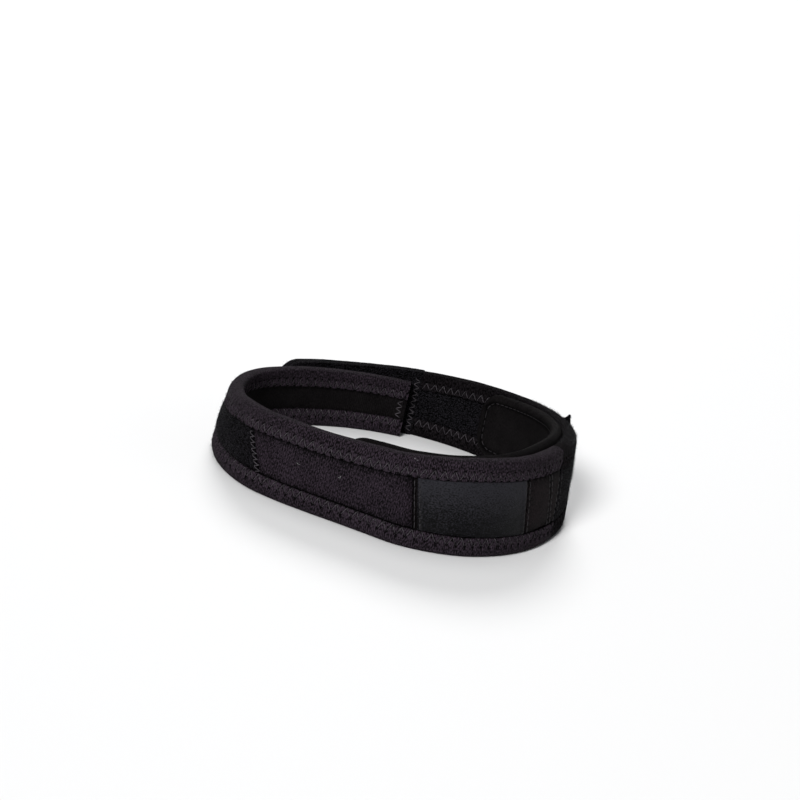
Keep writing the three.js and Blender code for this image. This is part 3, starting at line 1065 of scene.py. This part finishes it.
def upright_zigzag(
    name, seam, side, width, period, depth, away=1, low=None, high=None, radius=HEM_THREAD,
):
    """A zigzag seam across the band, side mm to the right of a seam line."""
    low, high = seam_reach(seam, low, high)
    half = period / 2
    draw = np.random.default_rng(seed_of(name))
    points = []
    for i in range(int((high - low) / half)):
        for t in np.arange(6) / 6:
            z = low + half * (i + t)
            swing = (2 * t - 1) * (1 if i % 2 == 0 else -1) * width / 2 + draw.normal(0, 0.03)
            sink = 0.5 * (1 - math.sin(math.pi * t)) ** 3
            angle = angle_at(length_at(seam_angle(seam, z)) + side + swing)
            points.append((angle, depth + away * (sink - 0.12), z))
    angle, place, z = np.array(points).T
    sew(name, [worn(angle, place, z)], radius, "thread", "hem")


def lockstitch(name, seam, side, depth):
    """A straight seam across the band, of stitches that dive into the cloth at both ends."""
    low, high = seam_reach(seam)
    draw = np.random.default_rng(seed_of(name))
    strands = []
    for i in range(int((high - low) / SEAM_STITCH)):
        t = np.linspace(0, 1, 8)
        z = low + SEAM_STITCH * (i + 0.08 + 0.84 * t)
        sink = 0.5 * (1 - np.sin(math.pi * np.clip(t, 0.02, 0.98))) ** 2.5
        lean = draw.normal(0, 0.06) + (t - 0.5) * draw.normal(0, 0.12)
        angle = angle_at(length_at(seam_angle(seam, z)) + side + lean)
        strands.append(worn(angle, depth + sink - 0.1, z))
    sew(name, strands, SEAM_THREAD, "fine_thread", "hem")


def sew_seams():
    """The seams across the band and the strap."""
    face = BINDING_THICKNESS - PANEL_THICKNESS
    upright_zigzag("pile_edge_zigzag", PILE_SEAM, -0.9, 2.8, 1.7, 0.05, radius=EDGE_THREAD)
    for name, seam, side, depth in (
        ("label_left", LABEL_LEFT, 0.9, 0.1),
        ("label_right", LABEL_RIGHT, -1.1, 0.1),
        ("label_seam", LABEL_LEFT, -1.1, face + 0.05),
        ("end_left", END_LEFT, 1.0, face),
        ("end_right", END_RIGHT, -1.0, face),
        ("side_seam", SIDE_LEFT, 1.0, face),
        ("side_join", SIDE_RIGHT, -1.2, face),
        ("join", (angle_after(BAND_END, 2.6), 0), 0, STRAP_FACE + 0.1),
    ):
        lockstitch(name + "_stitches", seam, side, depth)
    seam = (STRAP_HEM_END + 1.6, 0)
    ends = (1.6, float(height_at(seam[0])) - 1.6)
    upright_zigzag("tab_zigzag", seam, 0, 2.8, 2.6, STRAP_FACE + 0.1, 1, *ends)
    back = STRAP_FACE + STRAP_THICKNESS
    upright_zigzag("tab_zigzag_inside", seam, 0, 2.8, 2.6, back, -1, *ends)
    tail = (TAIL_END + 2.6, 0)
    upright_zigzag("tail_zigzag", tail, 0, 2.6, 2.4, 0.1)
    upright_zigzag("tail_zigzag_inside", tail, 0, 2.6, 2.4, LINING_FACE, -1)
    sew_hook_patch()
    sew_pad()


def sew_path(name, s, z, surface, away, stitch, material, slot):
    """A straight seam along a path over the flat cloth, on a surface whose depth is given."""
    gone = np.concatenate([[0], np.cumsum(np.hypot(np.diff(s), np.diff(z)))])
    strands = []
    for i in range(int(gone[-1] / stitch)):
        t = np.linspace(0, 1, 7)
        at = stitch * (i + 0.08 + 0.84 * t)
        angle, level = angle_at(np.interp(at, gone, s)), np.interp(at, gone, z)
        dive = 0.5 * (1 - np.sin(math.pi * t)) ** 2.5
        strands.append(worn(angle, surface(angle, level) + away * (dive - 0.12), level))
    sew(name, strands, PAD_THREAD, material, slot)


def sew_pad():
    """A straight seam round the pad, inside its edge."""
    inset = PAD_STITCH_INSET
    start = length_at(PAD_START) + inset
    end = length_at(PAD_END) - inset
    corner = PAD_CORNER - inset
    quarter = np.radians(np.linspace(0, 90, 12))
    low = lambda s: PAD_CLEARANCE_BELOW + inset + 0 * s
    high = lambda s: height_at(angle_at(s)) * along(PAD, PAD_TOP, angle_at(s)) - inset
    floor = np.linspace(start + corner, end - corner, 400)
    paths = [(floor, low(floor))]
    for s, sine in ((end - corner, 1), (start + corner, -1)):
        place = s + sine * corner * np.sin(quarter)
        rise = corner * (1 - np.cos(quarter))
        side = np.linspace(low(s) + corner, high(s) - corner, 30)
        lower = (place, low(place) + rise)
        upright = (np.full(30, s + sine * corner), side)
        upper = (place[::-1], (high(place) - rise)[::-1])
        turned = [lower, upright, upper]
        if sine > 0:
            paths += turned
            back = floor[::-1]
            paths.append((back, high(back)))
        else:
            paths += [(a[::-1], b[::-1]) for a, b in turned[::-1]]
    s = np.concatenate([p[0] for p in paths])
    z = np.concatenate([p[1] for p in paths])
    face = lambda a, level: pad_surface(a, level)[1]
    sew_path("pad_stitches", s, z, face, -1, 2.8, "fine_thread", "neoprene")


def sew_hook_patch():
    """A straight seam round the hook tape, through to the outside of the tab."""
    from_edge = 1.5
    end = float(length_at(TAB_END)) - HOOK_MARGIN - from_edge
    start = end - HOOK_LENGTH + 2 * from_edge
    low, high = between_hems(from_edge)
    lengths = np.linspace(start, end, 80)
    bottom, top = low(angle_at(lengths)), high(angle_at(lengths))
    s = np.concatenate([lengths, [end], lengths[::-1], [start]])
    z = np.concatenate([bottom, [top[-1]], top[::-1], [bottom[0]]])
    inside = STRAP_FACE + STRAP_THICKNESS + GAP + HOOK_THICKNESS
    for name, depth, away, slot in (
        ("hook_stitches", inside, -1, "hooks"),
        ("tab_stitches", STRAP_FACE, 1, "pile"),
    ):
        sew_path(name, s, z, lambda a, level: depth + 0 * a, away, 2.6, "thread", slot)


# Nap and loose threads

def hairs(name, slot, roots, outward, sideways, length, seed):
    """Short bent three-sided fibres on a surface, as one mesh."""
    draw = np.random.default_rng(seed)
    count = len(roots)
    swing = draw.normal(0, 0.55, (count, 3))
    way = outward + swing
    way /= np.linalg.norm(way, axis=1, keepdims=True)
    long = (length * draw.uniform(0.45, 1.25, count))[:, None] * MM
    bend = sideways * draw.normal(0, 0.6, (count, 1)) + draw.normal(0, 0.35, (count, 3))
    tip_way = way + bend
    tip_way /= np.linalg.norm(tip_way, axis=1, keepdims=True)
    middle = roots + way * long * 0.55
    tip = middle + tip_way * long * 0.6
    first = np.cross(way, draw.normal(0, 1, (count, 3)))
    first /= np.linalg.norm(first, axis=1, keepdims=True)
    second = np.cross(way, first)
    corners = []
    for k in range(3):
        turn = k * math.tau / 3
        corners.append((first * math.cos(turn) + second * math.sin(turn)) * FIBRE_RADIUS * MM)
    rings = [roots + c for c in corners] + [middle + c * 0.8 for c in corners] + [tip]
    points = np.stack(rings, 1).reshape(-1, 3)
    pattern = [(0, 2, 1)]
    for k in range(3):
        n = (k + 1) % 3
        pattern += [(k, n, 3 + n), (k, 3 + n, 3 + k), (3 + k, 3 + n, 6)]
    faces = (np.arange(count)[:, None, None] * 7 + np.array(pattern)).reshape(-1, 3)
    data = bpy.data.meshes.new(name)
    data.from_pydata(points.tolist(), [], faces.tolist())
    obj = bpy.data.objects.new(name, data)
    bpy.context.scene.collection.objects.link(obj)
    recalculate(obj)
    smooth(obj)
    dress(obj, "fuzz", slot)


def nap(name, angles, low, high, depth, density, length, seed, away=1, slot="pile"):
    """Fibres strewn over a stretch of the band's face; away is -1 on the inside."""
    draw = np.random.default_rng(seed)
    start, end = length_at(angles[0]), length_at(angles[1])
    spread = float(np.mean(high(np.linspace(*angles, 40)) - low(np.linspace(*angles, 40))))
    count = int(density * (end - start) * spread)
    angle = angle_at(draw.uniform(start, end, count))
    z = low(angle) + (high(angle) - low(angle)) * draw.uniform(0, 1, count)
    roots = worn(angle, depth + 0.15 * away, z)
    outward = worn(angle, depth - away, z) - worn(angle, depth, z)
    outward /= np.linalg.norm(outward, axis=1, keepdims=True)
    sideways = np.cross(outward, (0, 0, 1.0))
    hairs(name, slot, roots, outward, sideways, length, seed)


def rim_nap():
    """Fibres that stand up round the strap's upper edge, behind its join with the band."""
    draw = np.random.default_rng(77)
    count = 1400
    angle = angle_at(draw.uniform(length_at(RIM_NAP[0]), length_at(RIM_NAP[1]), count))
    across = draw.uniform(0.04, 0.96, count)
    from_middle = 2 * across - 1
    depth = BAND_THICKNESS * across
    z = height_at(angle) - 0.2 - 1.5 * from_middle ** 4
    roots = worn(angle, depth, z)
    inward = (worn(angle, depth + 1, z) - roots) / MM
    outward = inward * 0.9 * from_middle[:, None] + np.array((0, 0, 1.0))
    hairs("rim_nap", "pile", roots, outward, inward, 0.85, 78)


def add_nap():
    """The fibres of the pile, stray ones on the band, and the rough stretch at the join."""
    top = lambda a: height_at(a) - 0.8
    nap("patch_nap", (TAIL_END, PILE_END - 3), *between_hems(), 0.05, 2.6, 0.9, 71)
    nap("stray_nap", (-140, -80), lambda a: 0.8 + 0 * a, top, 0.1, 1.2, 0.9, 72, slot="hem")
    top = lambda a: height_at(a) - 0.3
    nap("join_nap", (48, 112), lambda a: 0.5 * height_at(a), top, STRAP_FACE, 2.4, 1.15, 75)
    top = lambda a: height_at(a) + corner_lift(a)
    nap("corner_nap", RAISED_CORNER, lambda a: height_at(a) - 1.5, top, -0.2, 9, 0.8, 76)
    rim_nap()
    fray_and_lint()
    bottom = lambda a: 0.6 + LOWER_HEM * under_hem(a)
    top = lambda a: height_at(a) - 0.6 - UPPER_HEM * under_hem(a)
    back = STRAP_FACE + STRAP_THICKNESS
    for name, start, end, depth, away, density in (
        ("strap_nap", BAND_END + 1, STRAP_HEM_END, STRAP_FACE, 1, 2.2),
        ("tab_nap", STRAP_HEM_END + 1, TAB_END - 1, STRAP_FACE, 1, 1.8),
        ("strap_nap_inside", PAD_END - 8, STRAP_HEM_END, back - 0.8, -1, 1),
        ("tab_nap_inside", STRAP_HEM_END + 1, TAB_END - 1, back, -1, 0.8),
    ):
        nap(name, (start, end), bottom, top, depth, density, 0.8, seed_of(name), away)


def fray_and_lint():
    """Loose ends of thread on the strap's upper edge, and a few flecks of lint."""
    draw = np.random.default_rng(81)
    strands = []
    for angle in FRAY_ANGLES:
        top = float(height_at(angle))
        t = np.linspace(0, 1, 7)
        reach = draw.uniform(1.2, 2.2)
        drift = draw.normal(0, 1.6)
        curl = draw.uniform(-1, 1)
        out = 0.9 - reach * t ** 1.2 * 0.55
        z = top - 1.8 + reach * (t - 0.35 * t ** 2) * 0.8
        along_mm = drift * t + curl * np.sin(t * 3) * 0.6
        strands.append(worn(angle_at(length_at(angle) + along_mm), out, z))
    sew("frayed_ends", strands, FRAYED_THREAD, "fine_thread", "pile")
    strands = []
    for angle, z in LINT:
        for _ in range(3):
            heading = draw.uniform(0, math.tau) + np.cumsum(draw.normal(0, 0.45, 9))
            along_mm = np.cumsum(np.cos(heading)) * 0.11 + draw.normal(0, 0.1)
            up = np.cumsum(np.sin(heading)) * 0.11 + draw.normal(0, 0.1)
            lift = 0.12 - 0.12 * np.sin(np.linspace(0, math.pi, 9))
            strands.append(worn(angle_at(length_at(angle) + along_mm), lift, z + up))
    sew("lint_flecks", strands, LINT_THREAD, "lint", "jersey")


def sew_hems():
    """The zigzag seams of the hems, on both faces of band and strap."""
    for name, upper in (("upper_zigzag", True), ("lower_zigzag", False)):
        for inside in (False, True):
            full = name + "_inside" * inside
            hem_zigzag(full, upper, inside, TAIL_END, BAND_END)
            hem_zigzag("strap_" + full, upper, inside, STRAP_HEM_START, STRAP_HEM_END)


# The stage

def make_floor():
    deselect_all()
    bpy.ops.mesh.primitive_plane_add(size=FLOOR_SIZE, location=(0, 0, 0))
    floor = bpy.context.object
    floor.name = "studio_floor"
    material, _, shader = new_material("studio_floor")
    shader.inputs["Base Color"].default_value = (FLOOR_GREY, FLOOR_GREY, FLOOR_GREY, 1)
    shader.inputs["Roughness"].default_value = 0.7
    floor.data.materials.append(material)


def add_light(name, source, spread, strength):
    """A wide soft light far away in the source's direction, as broad as spread degrees."""
    data = bpy.data.lights.new(name, "SUN")
    data.angle = math.radians(spread)
    data.energy = strength
    light = bpy.data.objects.new(name, data)
    light.location = source
    light.rotation_euler = (-Vector(source)).to_track_quat("-Z", "Y").to_euler()
    bpy.context.scene.collection.objects.link(light)


def make_backdrop():
    """A pale backdrop as bright as the floor, which itself gives only a weak light."""
    world = bpy.data.worlds.new("studio")
    world.use_nodes = True
    tree = world.node_tree
    backdrop = tree.nodes["Background"]
    backdrop.inputs["Color"].default_value = (0.9, 0.92, 0.95, 1)
    path = tree.nodes.new("ShaderNodeLightPath")
    seen = path.outputs["Is Camera Ray"]
    brightness = maths(tree, "MULTIPLY_ADD", seen, BACKDROP_SEEN - BACKDROP_LIGHT, BACKDROP_LIGHT)
    tree.links.new(brightness, backdrop.inputs["Strength"])
    bpy.context.scene.world = world


def make_studio():
    make_floor()
    make_backdrop()
    for name, source, spread, strength in LIGHTS:
        add_light(name, source, spread, strength)
    bpy.context.scene.view_settings.view_transform = "Standard"


def make_camera():
    """A camera that sees the loop's middle at LOOP_PIXEL, at PIXELS_PER_MM."""
    azimuth = math.radians(CAMERA_AZIMUTH)
    elevation = math.radians(CAMERA_ELEVATION)
    roll = math.radians(CAMERA_ROLL)
    back = Vector((
        math.sin(azimuth) * math.cos(elevation),
        -math.cos(azimuth) * math.cos(elevation),
        math.sin(elevation),
    ))
    right = Vector((math.cos(azimuth), math.sin(azimuth), 0))
    up = back.cross(right)
    image_right = right * math.cos(roll) + up * math.sin(roll)
    image_up = up * math.cos(roll) - right * math.sin(roll)
    focal_pixels = PIXELS_PER_MM * CAMERA_DISTANCE / MM
    seen = Vector((
        LOOP_PIXEL[0] - IMAGE_SIZE / 2, IMAGE_SIZE / 2 - LOOP_PIXEL[1], -focal_pixels,
    )).normalized()
    straight = Matrix((image_right, image_up, back)).transposed()
    aim = seen.rotation_difference(Vector((0, 0, -1))).to_matrix()
    data = bpy.data.cameras.new("photo_camera")
    data.sensor_width = SENSOR_WIDTH
    data.lens = focal_pixels * SENSOR_WIDTH / IMAGE_SIZE
    data.clip_start = 0.01
    camera = bpy.data.objects.new("photo_camera", data)
    loop = Vector((LOOP_AXIS[0], LOOP_AXIS[1], 0)) * MM
    stand = Matrix.Translation(loop + back * CAMERA_DISTANCE)
    camera.matrix_world = stand @ (straight @ aim).to_4x4()
    bpy.context.scene.collection.objects.link(camera)
    bpy.context.scene.camera = camera


make_camera()
make_studio()
make_core()
make_binding("upper_hem", True, TAIL_END, BAND_END, 800, "upper_binding")
make_binding("lower_hem", False, TAIL_END, BAND_END, 800, "lower_binding")
make_panel("centre_jersey", "centre_panel", (PILE_SEAM, CENTRE_SEAM), 110, 61)
make_panel("end_jersey", "end_panel", (END_LEFT, END_RIGHT), 36, 63, "shaded_side_jersey")
make_panel("shaded_side_jersey", "side_panel", (SIDE_LEFT, SIDE_RIGHT), 16, 65, "shaded_side_jersey")
make_panel(
    "pile_patch", "loop_patch", (TAIL_SEAM, PATCH_RIGHT), 260, 67,
    "pile", PILE_THICKNESS, TUFT_HEIGHT,
)
make_label()
make_back_strap()
make_raised_corner()
make_binding("strap_upper_hem", True, STRAP_HEM_START, STRAP_HEM_END, 360)
make_binding("strap_lower_hem", False, STRAP_HEM_START, STRAP_HEM_END, 360)
make_hook_patch()
make_pad()
sew_hems()
sew_seams()
add_nap()
